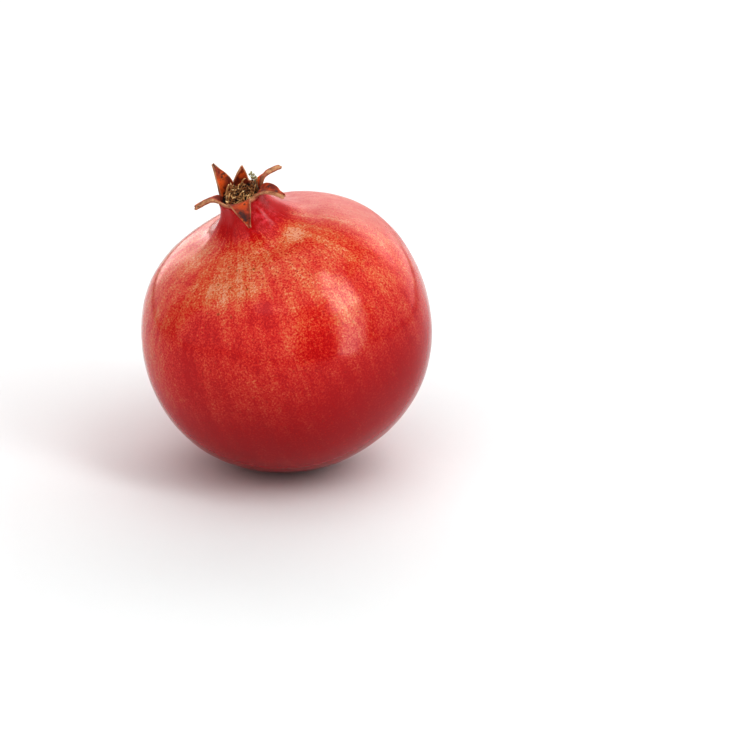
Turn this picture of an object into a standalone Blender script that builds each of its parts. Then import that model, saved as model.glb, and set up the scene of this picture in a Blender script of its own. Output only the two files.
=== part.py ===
"""A whole pomegranate that rests, leaning, on a small flat spot. Metres, +Z up.

Every piece is modelled upright round the fruit's own axis, with the middle of the widest ring at
the local origin. An empty then leans the fruit to the left and to the front, and a second empty
carries what grows on the neck, which stands a little to one side of that axis.
"""

import math
import random

import bmesh
import bpy
from mathutils import Matrix, Vector, geometry

MM = 0.001
MERGE_DISTANCE = 0.01 * MM

# The body, from its widest ring
BODY_RADIUS = 48.0 * MM
SHOULDER_HEIGHT = 39.6 * MM
BASE_DEPTH = 46.0 * MM
SHOULDER_POWER = 0.683  # under 1 is fuller than an ellipse
BASE_POWER = 0.976
BODY_SIDES = 60
BODY_RINGS = 30

# Soft flats round the body, over the chambers inside it
FLATS = 6
FLAT_RELIEF = 0.0124
FLAT_TURN = math.radians(32)

# The stem end
DIMPLE_DEPTH = 2.2 * MM
DIMPLE_RADIUS = 7.0 * MM
STUB_RADIUS = 3.0 * MM
STUB_LENGTH = 2.0 * MM

# The neck, with heights from the widest ring
FLARE_RADIUS = 21.0 * MM
NECK_RADIUS = 7.3 * MM
NECK_TOP = 50.6 * MM
FLARE_POINTS = 9
FLARE_FOOT_HANDLE = 0.62  # of the flare's reach
FLARE_NECK_HANDLE = 0.38
TANGENT_STEP = 0.02
CUP_RADIUS = 6.2 * MM
CUP_FLOOR = 43.0 * MM
FLUTE_RELIEF = 0.04
FLUTE_TURN = math.radians(6)

# How the neck stands on the shoulder
NECK_SIDE = 2.6 * MM
SIDE_STEP_START = 0.8 * BODY_RADIUS
SIDE_STEP_END = 0.3 * BODY_RADIUS
NECK_FOOT = 39.0 * MM
NECK_BEND_HEIGHT = 4.0 * MM
NECK_LEAN = math.radians(4)

# The dry rim of the calyx and its sepals
GAP = 0.3 * MM
RIM_BOTTOM = NECK_TOP + GAP - NECK_FOOT
RIM_HEIGHT = 1.5 * MM
RIM_RADIUS = 7.3 * MM
RIM_WALL = 0.9 * MM
RIM_SIDES = 36
SEPAL_THICKNESS = 1.1 * MM
SEPAL_ROOT_SUNK = 0.7 * MM
SEPAL_TIP_WIDTH = 0.16  # of the root's width
SEPAL_TAPER_POWER = 1.5
SEPAL_ROWS = 9
SEPAL_COLUMNS = 4
CURL_END = 0.8  # of the length
ROLL_END = 0.4

# Round the rim from the right, each sepal's place in degrees, length and root width in
# millimetres, its slope where it leaves the rim and at its tip, its swing to the side, and how
# far the blade is turned about its own length
SEPALS = (
    (12, 8.9, 6.0, 51, 3, -6, -26),
    (86, 6.4, 5.4, 112, 118, 70, 0),
    (131, 9.7, 6.8, 97, 72, 1, 0),
    (184, 8.5, 6.0, 35, -3, 15, 26),
    (267, 10.2, 7.2, 17, -77, 10, 0),
    (332, 9.0, 6.6, 22, -42, 2, 0),
)

# The withered stamens in the cup
CORE_RADIUS = CUP_RADIUS - GAP
CORE_HEIGHT = 9.0 * MM
CORE_DOME = 0.2
CORE_RINGS = (1, 0.75, 0.45)
STAMENS = 52
STAMEN_RADIUS = 0.33 * MM
STAMEN_LENGTH = (2.6 * MM, 4.6 * MM)
STAMEN_SUNK = 1.0 * MM
STAMEN_TILT = (0.1, 0.9)
STAMEN_DROOP = (0.2, 1.3)
ANTHER_RADIUS = 0.6 * MM
ANTHER_STRETCH = 1.4
ANTHER_ROOM = 1.5 * ANTHER_RADIUS
STAMEN_SEED = 3

# The lean, and the flat spot that the fruit rests on
LEAN_FRONT = math.radians(9.0)
LEAN_LEFT = math.radians(19.5)
FLAT_SPOT_DEPTH = 0.9 * MM


def ease(value, low, high):
    """0 at low and 1 at high, smooth in between. low may be the larger."""
    share = min(max((value - low) / (high - low), 0.0), 1.0)
    return share * share * (3 - 2 * share)


def material(name, color, roughness):
    made = bpy.data.materials.new(name)
    made.use_nodes = True
    shader = made.node_tree.nodes["Principled BSDF"]
    shader.inputs["Base Color"].default_value = (*color, 1)
    shader.inputs["Roughness"].default_value = roughness
    shader.inputs["Metallic"].default_value = 0
    return made


def object_from(bm, name, finish=None):
    """The bmesh as a named object, smooth but for its sharp edges."""
    mesh = bpy.data.meshes.new(name)
    bm.to_mesh(mesh)
    bm.free()
    mesh.shade_smooth()
    mesh.set_sharp_from_angle(angle=math.radians(40))
    obj = bpy.data.objects.new(name, mesh)
    if finish:
        mesh.materials.append(finish)
    bpy.context.scene.collection.objects.link(obj)
    return obj


def turned(profile, sides):
    """A closed solid turned about Z from (radius, height) points that start and end on the axis."""
    bm = bmesh.new()
    line = [bm.verts.new((radius, 0, height)) for radius, height in profile]
    edges = [bm.edges.new(pair) for pair in zip(line, line[1:])]
    bmesh.ops.spin(
        bm, geom=line + edges, axis=(0, 0, 1), cent=(0, 0, 0),
        steps=sides, angle=math.tau, use_merge=True,
    )
    bmesh.ops.remove_doubles(bm, verts=bm.verts, dist=MERGE_DISTANCE)
    bmesh.ops.recalc_face_normals(bm, faces=bm.faces)
    return bm


def keep_outer_shell(mesh):
    """Drops every shell but the largest: loose scraps, and the walls of hollows that fusing sealed."""
    bm = bmesh.new()
    bm.from_mesh(mesh)
    unseen = set(bm.faces)
    shells = []
    while unseen:
        shell = [unseen.pop()]
        for face in shell:
            near = {other for edge in face.edges for other in edge.link_faces} & unseen
            unseen -= near
            shell.extend(near)
        shells.append(shell)
    shells.sort(key=len)
    bmesh.ops.delete(bm, geom=[face for shell in shells[:-1] for face in shell], context="FACES")
    bm.to_mesh(mesh)
    bm.free()


def fuse(base, pieces):
    """Joins the pieces to the base with one Boolean union, and leaves the base alone."""
    group = bpy.data.collections.new(base.name + "_pieces")
    for piece in pieces:
        group.objects.link(piece)
    union = base.modifiers.new("fused", "BOOLEAN")
    union.operation = "UNION"
    union.operand_type = "COLLECTION"
    union.collection = group
    union.solver = "MANIFOLD"
    bpy.context.view_layer.update()
    graph = bpy.context.evaluated_depsgraph_get()
    fused = bpy.data.meshes.new_from_object(base.evaluated_get(graph))
    base.modifiers.clear()
    base.data = fused
    keep_outer_shell(fused)
    for piece in pieces:
        bpy.data.objects.remove(piece)
    bpy.data.collections.remove(group)


# Body

def body_point(angle):
    """(radius, height) on the body's side, from angle 0 at the stem end to pi at the crown."""
    rise = -math.cos(angle)
    if rise < 0:
        radius = BODY_RADIUS * math.sin(angle) ** BASE_POWER
        dimple = DIMPLE_DEPTH * math.exp(-((radius / DIMPLE_RADIUS) ** 2))
        return radius, BASE_DEPTH * rise + dimple
    return BODY_RADIUS * math.sin(angle) ** SHOULDER_POWER, SHOULDER_HEIGHT * rise


def fruit_profile():
    """The body, the hollow flare of the neck, its top edge and the cup in it."""
    last = math.pi - math.asin((FLARE_RADIUS / BODY_RADIUS) ** (1 / SHOULDER_POWER))
    body = [body_point(last * i / BODY_RINGS) for i in range(1, BODY_RINGS)]
    foot = Vector(body_point(last))
    inward = (foot - Vector(body_point(last - TANGENT_STEP))).normalized()
    neck = Vector((NECK_RADIUS, NECK_TOP))
    reach = FLARE_RADIUS - NECK_RADIUS
    foot_handle = foot + inward * reach * FLARE_FOOT_HANDLE
    neck_handle = neck - Vector((0, reach * FLARE_NECK_HANDLE))
    flare = geometry.interpolate_bezier(foot, foot_handle, neck_handle, neck, FLARE_POINTS)
    cup = [(CUP_RADIUS, NECK_TOP), (CUP_RADIUS, CUP_FLOOR), (0, CUP_FLOOR)]
    return [(0, -BASE_DEPTH + DIMPLE_DEPTH)] + body + [tuple(p) for p in flare] + cup


def grown(point):
    """Where a point of the turned shape lies once the fruit has its flats and its neck leans."""
    radius = math.hypot(point.x, point.y)
    turn = math.atan2(point.y, point.x)
    flats = FLAT_RELIEF * math.cos(FLATS * (turn - FLAT_TURN)) * (radius / BODY_RADIUS) ** 2
    outside = ease(radius, CUP_RADIUS, NECK_RADIUS)
    on_neck = ease(point.z, NECK_FOOT, NECK_FOOT + NECK_BEND_HEIGHT)
    flutes = FLUTE_RELIEF * math.cos(FLATS * (turn - FLUTE_TURN)) * on_neck * outside
    swollen = 1 + flats + flutes
    moved = Vector((point.x * swollen, point.y * swollen, point.z))
    if point.z > 0:
        moved.x += NECK_SIDE * ease(radius, SIDE_STEP_START, SIDE_STEP_END)
    foot = Vector((NECK_SIDE, 0, NECK_FOOT))
    return foot + Matrix.Rotation(NECK_LEAN * on_neck, 3, "X") @ (moved - foot)


def make_fruit(lean):
    """The rind with its neck, cut flat where it rests. Returns it and how high its middle lies."""
    bm = turned(fruit_profile(), BODY_SIDES)
    for vert in bm.verts:
        vert.co = grown(vert.co)
    lowest = min((lean @ vert.co).z for vert in bm.verts)
    rest_level = lowest + FLAT_SPOT_DEPTH
    down = lean.inverted() @ Vector((0, 0, -1))
    cut = bmesh.ops.bisect_plane(
        bm, geom=bm.verts[:] + bm.edges[:] + bm.faces[:],
        plane_co=down * -rest_level, plane_no=down, clear_outer=True,
    )
    spot_edges = [e for e in cut["geom_cut"] if isinstance(e, bmesh.types.BMEdge)]
    bmesh.ops.contextual_create(bm, geom=spot_edges)
    bmesh.ops.recalc_face_normals(bm, faces=bm.faces)
    bmesh.ops.triangulate(bm, faces=bm.faces)
    skin = material("rind", (0.62, 0.07, 0.05), 0.42)
    return object_from(bm, "fruit", skin), -rest_level


# Crown

def sepal(place, length, width, slope, tip_slope, swing, roll, number):
    """A thick pointed blade that leaves the rim at one slope and curls to another."""
    bm = bmesh.new()
    bmesh.ops.create_grid(bm, x_segments=SEPAL_COLUMNS, y_segments=SEPAL_ROWS, size=1)
    turn = math.radians(place)
    out = Vector((math.cos(turn), math.sin(turn), 0))
    side = Vector((-math.sin(turn), math.cos(turn), 0))
    up = Vector((0, 0, 1))
    heading = out * math.cos(math.radians(swing)) + side * math.sin(math.radians(swing))
    middle = [out * (RIM_RADIUS - RIM_WALL / 2) + up * (RIM_BOTTOM + RIM_HEIGHT - SEPAL_ROOT_SUNK)]
    ways = []
    step = length * MM / SEPAL_ROWS
    for i in range(SEPAL_ROWS + 1):
        curled = ease((i + 0.5) / SEPAL_ROWS, 0, CURL_END)
        bent = math.radians(slope + (tip_slope - slope) * curled)
        ways.append(heading * math.cos(bent) + up * math.sin(bent))
        middle.append(middle[-1] + ways[-1] * step)
    for vert in bm.verts:
        station = round((vert.co.y + 1) / 2 * SEPAL_ROWS)
        share = station / SEPAL_ROWS
        narrowed = max(1 - share ** SEPAL_TAPER_POWER, SEPAL_TIP_WIDTH)
        half = width * MM / 2 * narrowed
        face = side.cross(ways[station]).normalized()
        rolled = Matrix.Rotation(math.radians(roll) * ease(share, 0, ROLL_END), 3, ways[station])
        follow_rim = half ** 2 / (2 * RIM_RADIUS) * (1 - share)
        off_middle = side * half * vert.co.x - face * follow_rim * vert.co.x ** 2
        vert.co = middle[station] + rolled @ off_middle
    bmesh.ops.triangulate(bm, faces=bm.faces)
    made = object_from(bm, f"sepal_{number}")
    thick = made.modifiers.new("thick", "SOLIDIFY")
    thick.thickness = SEPAL_THICKNESS
    thick.offset = 0
    return made


def turned_ring(section):
    """A ring turned about Z from the closed outline of its cross-section."""
    bm = bmesh.new()
    loop = [bm.verts.new((radius, 0, height)) for radius, height in section]
    edges = [bm.edges.new((loop[i - 1], loop[i])) for i in range(len(loop))]
    bmesh.ops.spin(
        bm, geom=loop + edges, axis=(0, 0, 1), cent=(0, 0, 0),
        steps=RIM_SIDES, angle=math.tau, use_merge=True,
    )
    bmesh.ops.recalc_face_normals(bm, faces=bm.faces)
    return bm


def make_crown(neck):
    """The dry rim of the calyx with its six sepals."""
    inner = RIM_RADIUS - RIM_WALL
    top = RIM_BOTTOM + RIM_HEIGHT
    bm = turned_ring(((inner, RIM_BOTTOM), (RIM_RADIUS, RIM_BOTTOM), (RIM_RADIUS, top), (inner, top)))
    dry = material("dry_sepal", (0.32, 0.11, 0.04), 0.7)
    crown = object_from(bm, "calyx_crown", dry)
    fuse(crown, [sepal(*spec, number) for number, spec in enumerate(SEPALS)])
    crown.parent = neck


# Stamens

def core_height(distance):
    """The height of the matted core's domed top, at a distance from the neck's axis."""
    floor = CUP_FLOOR + GAP - NECK_FOOT
    return floor + CORE_HEIGHT * (1 - CORE_DOME * (distance / CORE_RADIUS) ** 2)


def drawn_stamen(draw):
    """A root, a facing, a length, a tilt and a droop whose tip stays inside the cup's wall."""
    while True:
        distance = CORE_RADIUS * math.sqrt(draw.random())
        root = Vector((distance, 0)) @ Matrix.Rotation(draw.uniform(0, math.tau), 2)
        facing = draw.uniform(0, math.tau)
        length = draw.uniform(*STAMEN_LENGTH)
        tilt, droop = draw.uniform(*STAMEN_TILT), draw.uniform(*STAMEN_DROOP)
        reach = length * math.sin(tilt + droop / 2)
        tip = root + Vector((math.cos(facing), math.sin(facing))) * reach
        if max(root.length, tip.length) < CORE_RADIUS - ANTHER_ROOM:
            return root, facing, length, tilt, droop


def stamen(draw, number):
    """A withered filament that stands out of the core and droops, with its anther at the end."""
    root, facing, length, tilt, droop = drawn_stamen(draw)
    bm = bmesh.new()
    bmesh.ops.create_cone(
        bm, cap_ends=True, segments=3, radius1=STAMEN_RADIUS, radius2=STAMEN_RADIUS, depth=length
    )
    tall = [e for e in bm.edges if abs(e.verts[0].co.z - e.verts[1].co.z) > length / 2]
    bmesh.ops.subdivide_edges(bm, edges=tall, cuts=2)
    anther = bmesh.ops.create_icosphere(bm, subdivisions=1, radius=ANTHER_RADIUS)
    for vert in anther["verts"]:
        vert.co.z = vert.co.z * ANTHER_STRETCH + length / 2
    for vert in bm.verts:
        share = vert.co.z / length + 0.5
        chord = tilt + droop * share / 2
        on_line = Vector((math.sin(chord), 0, math.cos(chord))) * length * share
        across = Matrix.Rotation(tilt + droop * share, 3, "Y") @ Vector((*vert.co.xy, 0))
        vert.co = on_line + across
    height = core_height(root.length) - STAMEN_SUNK
    place = Matrix.Translation((*root, height)) @ Matrix.Rotation(facing, 4, "Z")
    bmesh.ops.transform(bm, matrix=place, verts=bm.verts)
    return object_from(bm, f"stamen_{number}")


def make_stamens(neck):
    floor = CUP_FLOOR + GAP - NECK_FOOT
    rings = [CORE_RADIUS * share for share in CORE_RINGS]
    profile = [(0, floor), (CORE_RADIUS, floor)]
    profile += [(radius, core_height(radius)) for radius in rings] + [(0, core_height(0))]
    withered = material("withered_stamen", (0.34, 0.20, 0.09), 0.85)
    core = object_from(turned(profile, 24), "stamens", withered)
    draw = random.Random(STAMEN_SEED)
    fuse(core, [stamen(draw, number) for number in range(STAMENS)])
    core.parent = neck


# Stem end

def make_stub(axis):
    """The cut end of the stem, which the dimple holds."""
    top = -BASE_DEPTH + DIMPLE_DEPTH * math.exp(-((STUB_RADIUS / DIMPLE_RADIUS) ** 2)) - GAP
    bottom = top - STUB_LENGTH
    profile = [(0, bottom), (STUB_RADIUS * 0.72, bottom), (STUB_RADIUS * 0.86, bottom + 0.3 * MM)]
    profile += [(STUB_RADIUS * 0.9, top - 0.8 * MM), (STUB_RADIUS, top), (0, top)]
    wood = material("stem_wood", (0.20, 0.12, 0.06), 0.8)
    object_from(turned(profile, 20), "stem_stub", wood).parent = axis


def empty(name, parent=None):
    made = bpy.data.objects.new(name, None)
    made.parent = parent
    bpy.context.scene.collection.objects.link(made)
    return made


def main():
    for obj in list(bpy.data.objects):
        bpy.data.objects.remove(obj)
    lean = Matrix.Rotation(-LEAN_LEFT, 3, "Y") @ Matrix.Rotation(LEAN_FRONT, 3, "X")
    fruit, middle_height = make_fruit(lean)
    axis = empty("fruit_axis")
    axis.location = (0, 0, middle_height)
    axis.rotation_euler = lean.to_euler()
    fruit.parent = axis
    neck = empty("neck", axis)
    neck.location = (NECK_SIDE, 0, NECK_FOOT)
    neck.rotation_euler = (NECK_LEAN, 0, 0)
    make_crown(neck)
    make_stamens(neck)
    make_stub(axis)


main()
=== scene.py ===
# %% [markdown]
# # A whole pomegranate
# A pomegranate is a berry in a leathery rind. What is left of its flower stays on top of it: a short
# neck, a crown of dry sepals, and a cup of withered stamens inside the crown. This lesson loads a
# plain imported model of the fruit, and gives each of its four parts the shape and the finish that the
# eye expects: mottled rind, curled brown sepals, tangled stamens and a woody stem end.

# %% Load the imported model
import math
import random
from collections import namedtuple

import bmesh
import bpy
from mathutils import Matrix, Vector, geometry, noise


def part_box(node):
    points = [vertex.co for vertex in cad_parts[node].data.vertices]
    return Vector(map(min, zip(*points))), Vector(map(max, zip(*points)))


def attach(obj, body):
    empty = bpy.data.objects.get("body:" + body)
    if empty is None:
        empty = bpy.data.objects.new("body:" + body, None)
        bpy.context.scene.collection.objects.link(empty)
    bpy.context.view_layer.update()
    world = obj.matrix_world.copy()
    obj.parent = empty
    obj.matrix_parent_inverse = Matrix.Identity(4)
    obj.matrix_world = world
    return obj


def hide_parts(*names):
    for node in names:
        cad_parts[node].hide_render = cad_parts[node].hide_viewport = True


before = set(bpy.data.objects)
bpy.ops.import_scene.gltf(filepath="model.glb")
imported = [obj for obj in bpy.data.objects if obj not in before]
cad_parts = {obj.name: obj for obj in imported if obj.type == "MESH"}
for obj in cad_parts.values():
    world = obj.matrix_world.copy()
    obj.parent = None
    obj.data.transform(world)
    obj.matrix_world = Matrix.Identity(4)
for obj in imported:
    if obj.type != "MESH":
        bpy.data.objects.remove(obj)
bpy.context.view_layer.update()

MM = 0.001
WELD = 0.01 * MM
print("packed parts:", sorted(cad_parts))

# %% [markdown]
# ## The shape of the rind
# The rind is almost a ball, but a plain UV sphere would miss what makes it a pomegranate: shoulders
# that are fuller than the base, six soft flats over the chambers inside, and a skin that sweeps up
# into the neck. So one outline is drawn from the stem end to the rim of the cup, spun round the
# fruit's own axis, and then grown: each point is moved a little by a formula.

# %% The outline, from the stem end to the floor of the cup
BODY_RADIUS = 48.0 * MM
SHOULDER_HEIGHT = 39.6 * MM
BASE_DEPTH = 46.0 * MM
SHOULDER_POWER = 0.683
BASE_POWER = 0.976
DIMPLE_DEPTH = 2.2 * MM
DIMPLE_RADIUS = 7.0 * MM
FLARE_RADIUS = 21.0 * MM
FLARE_FOOT_PULL = 0.62
FLARE_NECK_PULL = 0.38
NECK_RADIUS = 7.3 * MM
NECK_TOP = 50.6 * MM
CUP_RADIUS = 6.2 * MM
CUP_EDGE_DROP = 0.2 * MM
CUP_FLOOR = 43.0 * MM


def body_point(angle):
    """(radius, height) on the body's side, from angle 0 at the stem end to pi at the crown."""
    rise = -math.cos(angle)
    if rise < 0:
        radius = BODY_RADIUS * math.sin(angle) ** BASE_POWER
        dimple = DIMPLE_DEPTH * math.exp(-((radius / DIMPLE_RADIUS) ** 2))
        return radius, BASE_DEPTH * rise + dimple
    return BODY_RADIUS * math.sin(angle) ** SHOULDER_POWER, SHOULDER_HEIGHT * rise


def rind_outline(rings, flare_points):
    """The body, the curve that sweeps up into the neck, and the cup, as (radius, height) points."""
    last = math.pi - math.asin((FLARE_RADIUS / BODY_RADIUS) ** (1 / SHOULDER_POWER))
    body = [body_point(last * i / rings) for i in range(1, rings)]
    foot = Vector(body_point(last))
    just_before = Vector(body_point(last - 0.02))
    inward = (foot - just_before).normalized()
    neck = Vector((NECK_RADIUS, NECK_TOP))
    reach = FLARE_RADIUS - NECK_RADIUS
    leave_foot = foot + inward * reach * FLARE_FOOT_PULL
    reach_neck = neck - Vector((0, reach * FLARE_NECK_PULL))
    flare = geometry.interpolate_bezier(foot, leave_foot, reach_neck, neck, flare_points)
    cup = [(CUP_RADIUS, NECK_TOP - CUP_EDGE_DROP), (CUP_RADIUS, CUP_FLOOR), (0, CUP_FLOOR)]
    return [(0, -BASE_DEPTH + DIMPLE_DEPTH)] + body + [tuple(point) for point in flare] + cup


outline = rind_outline(rings=130, flare_points=44)
print("outline points:", len(outline))

# %% Spin the outline
RIND_SIDES = 288


def turned(profile, sides):
    """A closed solid turned about Z from (radius, height) points that start and end on the axis."""
    bm = bmesh.new()
    line = [bm.verts.new((radius, 0, height)) for radius, height in profile]
    edges = [bm.edges.new(pair) for pair in zip(line, line[1:])]
    bmesh.ops.spin(
        bm, geom=line + edges, axis=(0, 0, 1), cent=(0, 0, 0),
        steps=sides, angle=math.tau, use_merge=True,
    )
    bmesh.ops.remove_doubles(bm, verts=bm.verts, dist=WELD)
    bmesh.ops.recalc_face_normals(bm, faces=bm.faces)
    return bm


rind = turned(outline, RIND_SIDES)
print("rind faces:", len(rind.faces))

# %% [markdown]
# ## Growing the turned shape
# A turned shape is too perfect. Three smooth changes make it a grown one: the radius swells and
# shrinks six times round the body, the neck gets faint flutes below the sepals, and the neck stands
# a little to one side and leans to the front, as the flower did.

# %% Flats, flutes and the leaning neck
FLATS = 6
FLAT_RELIEF = 0.0124
FLAT_TURN = math.radians(32)
FLUTE_RELIEF = 0.04
FLUTE_TURN = math.radians(6)
NECK_SIDE = 2.6 * MM
NECK_FOOT = 39.0 * MM
NECK_BEND_HEIGHT = 4.0 * MM
NECK_LEAN = math.radians(4)


def ease(value, low, high):
    """0 at low and 1 at high, smooth in between. low may be the larger."""
    share = min(max((value - low) / (high - low), 0.0), 1.0)
    return share * share * (3 - 2 * share)


def grown(point):
    """Where a point of the turned shape ends up on the grown one."""
    radius = math.hypot(point.x, point.y)
    turn = math.atan2(point.y, point.x)
    flats = FLAT_RELIEF * math.cos(FLATS * (turn - FLAT_TURN)) * (radius / BODY_RADIUS) ** 2
    outside = ease(radius, CUP_RADIUS, NECK_RADIUS)
    on_neck = ease(point.z, NECK_FOOT, NECK_FOOT + NECK_BEND_HEIGHT)
    flutes = FLUTE_RELIEF * math.cos(FLATS * (turn - FLUTE_TURN)) * on_neck * outside
    swollen = 1 + flats + flutes
    moved = Vector((point.x * swollen, point.y * swollen, point.z))
    if point.z > 0:
        moved.x += NECK_SIDE * ease(radius, 0.8 * BODY_RADIUS, 0.3 * BODY_RADIUS)
    foot = Vector((NECK_SIDE, 0, NECK_FOOT))
    return foot + Matrix.Rotation(NECK_LEAN * on_neck, 3, "X") @ (moved - foot)


for vert in rind.verts:
    vert.co = grown(vert.co)
rind.normal_update()
print("the neck stands", round(NECK_SIDE / MM, 1), "mm to the side")

# %% [markdown]
# ## Lumps and rays
# Leather that dries on a full fruit is never quite smooth. Noise moves the skin in by up to a third
# of a millimetre in wide lumps, and fine rays run from the neck's foot over the shoulder, like
# pleats that open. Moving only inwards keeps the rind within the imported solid.

# %% Lumps, dents and rays in the skin
LUMP_SIZE = 17 * MM
LUMP_DEPTH = 0.34 * MM
DENT_SIZE = 5.5 * MM
DENT_DEPTH = 0.11 * MM
RAYS = 13
RAY_DEPTH = 0.1 * MM
RAY_TWIST = 40 * MM
# Distances from the neck's axis: the rays fade out over the first and in over the second
RAYS_OUT = (12 * MM, 30 * MM)
RAYS_IN = (6.5 * MM, 9 * MM)


def skin_depth(point):
    """How far the skin lies under the smooth shape, at a point of the grown shape."""
    aside = point.x - NECK_SIDE
    radius = math.hypot(aside, point.y)
    direction = Vector((aside / max(radius, MM), point.y / max(radius, MM), 0))
    lumps = 0.5 + 0.5 * noise.noise(point / LUMP_SIZE)
    dents = 0.5 + 0.5 * noise.noise(point / DENT_SIZE)
    rays = 0.5 + 0.5 * noise.noise(direction * RAYS / 2 + Vector((0, 0, point.z / RAY_TWIST)))
    near_neck = ease(radius, RAYS_OUT[1], RAYS_OUT[0]) * ease(radius, *RAYS_IN)
    near_neck *= ease(point.z, 0, 30 * MM)
    away_from_neck = ease(radius, 7 * MM, 20 * MM) if point.z > 0 else 1
    return (LUMP_DEPTH * lumps + DENT_DEPTH * dents) * away_from_neck + RAY_DEPTH * rays * near_neck


for vert in rind.verts:
    vert.co -= vert.normal * skin_depth(vert.co)
print("skin lumps up to", round((LUMP_DEPTH + DENT_DEPTH) / MM, 2), "mm deep")

# %% [markdown]
# ## Standing the fruit on its flat spot
# The fruit leans to the left and to the front. The lean is one rotation, and the height of the body's
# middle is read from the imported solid, so that the tops of the two agree. What would sink into the
# table is pressed flat, as a heavy fruit presses its own skin.

# %% The lean, the height and the pressed spot
LEAN_LEFT = math.radians(19.5)
LEAN_FRONT = math.radians(9.0)
lean = Matrix.Rotation(-LEAN_LEFT, 4, "Y") @ Matrix.Rotation(LEAN_FRONT, 4, "X")
fruit_low, fruit_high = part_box("fruit")
top_of_rind = max((lean @ vert.co).z for vert in rind.verts)
middle = Vector((0, 0, fruit_high.z - top_of_rind))
fruit_place = Matrix.Translation(middle) @ lean
neck_place = (
    fruit_place
    @ Matrix.Translation((NECK_SIDE, 0, NECK_FOOT))
    @ Matrix.Rotation(NECK_LEAN, 4, "X")
)
bmesh.ops.transform(rind, matrix=fruit_place, verts=rind.verts)
for vert in rind.verts:
    vert.co.z = max(vert.co.z, fruit_low.z)
print("middle of the body at", [round(value / MM, 2) for value in middle], "mm")

# %% [markdown]
# ## From a bmesh to a piece
# Every piece goes the same way: its mesh is written to an object at the origin, it is shaded smooth,
# it rides on the one body of this fruit, and the imported part that it stands for is hidden.

# %% Helpers that finish a piece
def object_from(bm, name, finishes):
    """An object at the origin with the bmesh in it and its materials."""
    mesh = bpy.data.meshes.new(name)
    bm.to_mesh(mesh)
    bm.free()
    for finish in finishes:
        mesh.materials.append(finish)
    made = bpy.data.objects.new(name, mesh)
    bpy.context.scene.collection.objects.link(made)
    return made


def piece_from(bm, name, stands_for, finishes, crease=50):
    """A piece of the fruit. Edges bent by more than the crease, in degrees, stay sharp."""
    made = object_from(bm, name, finishes)
    made.data.shade_smooth()
    made.data.set_sharp_from_angle(angle=math.radians(crease))
    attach(made, "root")
    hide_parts(stands_for)
    print(name, "has", len(made.data.polygons), "faces")
    return made


# %% [markdown]
# ## A small kit for node materials
# Materials are trees of nodes. A few helpers keep them short enough to read: `wire` adds a node and
# links or fills its sockets, and the others are the handful of nodes used over and over.

# %% Helpers for nodes
def wire(tree, kind, sockets, out=0, **settings):
    """Adds a node, fills its sockets with values or links, and returns one of its outputs."""
    made = tree.nodes.new(kind)
    for name, value in settings.items():
        setattr(made, name, value)
    for key, value in sockets.items():
        if isinstance(value, bpy.types.NodeSocket):
            tree.links.new(value, made.inputs[key])
        else:
            made.inputs[key].default_value = value
    return made.outputs[out]


def sums(tree, operation, first, second=0.0):
    """One step of arithmetic on values."""
    return wire(tree, "ShaderNodeMath", {0: first, 1: second}, operation=operation)


def layer(tree, share, under, over):
    """The colour over, laid on the colour under by its share."""
    return wire(tree, "ShaderNodeMix", {0: share, 6: under, 7: over}, out=2, data_type="RGBA")


def tinted(tree, mask, strength, under, over):
    """The colour over, laid on the colour under where the mask is, at the strength given."""
    return layer(tree, sums(tree, "MULTIPLY", mask, strength), under, over)


def stretch(tree, value, low, high, bottom=0.0, top=1.0):
    """A smooth step of the value from bottom at low to top at high."""
    sockets = {0: value, 1: low, 2: high, 3: bottom, 4: top}
    return wire(tree, "ShaderNodeMapRange", sockets, interpolation_type="SMOOTHSTEP")


def cloud(tree, place, size, detail=2.0, roughness=0.5):
    """Noise whose lumps are about the size given, in metres."""
    sockets = {"Vector": place, "Scale": 1 / size, "Detail": detail, "Roughness": roughness}
    return wire(tree, "ShaderNodeTexNoise", sockets)


def paint(red, green, blue):
    """A colour given from 0 to 255, as the linear values that Blender wants."""
    def linear(value):
        value /= 255
        return value / 12.92 if value <= 0.04045 else ((value + 0.055) / 1.055) ** 2.4
    return (linear(red), linear(green), linear(blue), 1.0)


def start_material(name):
    """A new material with its node tree and its Principled shader."""
    made = bpy.data.materials.new(name)
    made.use_nodes = True
    return made, made.node_tree, made.node_tree.nodes["Principled BSDF"]


def dress(tree, shader, color, roughness, grain, strength, depth):
    """Gives a shader its colour and roughness, and a grain that seems to stand up by the depth."""
    tree.links.new(color, shader.inputs["Base Color"])
    tree.links.new(roughness, shader.inputs["Roughness"])
    bump = {"Strength": strength, "Distance": depth, "Height": grain}
    tree.links.new(wire(tree, "ShaderNodeBump", bump), shader.inputs["Normal"])


print("a mid grey is", round(paint(128, 128, 128)[0], 3), "in linear light")

# %% [markdown]
# ## Effects that are used again
# Three patterns come back with other sizes. Flecks are noise cut at a threshold, on every face of the
# sepals. Pores are small round dots scattered by a Voronoi texture, and make both the red dots and
# the brown pores of the rind. Streaks run from pole to pole, broad ones and fine ones. Each is a node
# group with its sizes as inputs, built once.

# %% Node groups for flecks, pores and streaks
def start_group(name, inputs, outputs):
    """A new node group, with its inputs' sockets to read and its outputs' sockets to fill."""
    tree = bpy.data.node_groups.new(name, "ShaderNodeTree")
    for label, kind in inputs:
        tree.interface.new_socket(label, in_out="INPUT", socket_type="NodeSocket" + kind)
    for label, kind in outputs:
        tree.interface.new_socket(label, in_out="OUTPUT", socket_type="NodeSocket" + kind)
    return tree, tree.nodes.new("NodeGroupInput").outputs, tree.nodes.new("NodeGroupOutput").inputs


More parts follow.
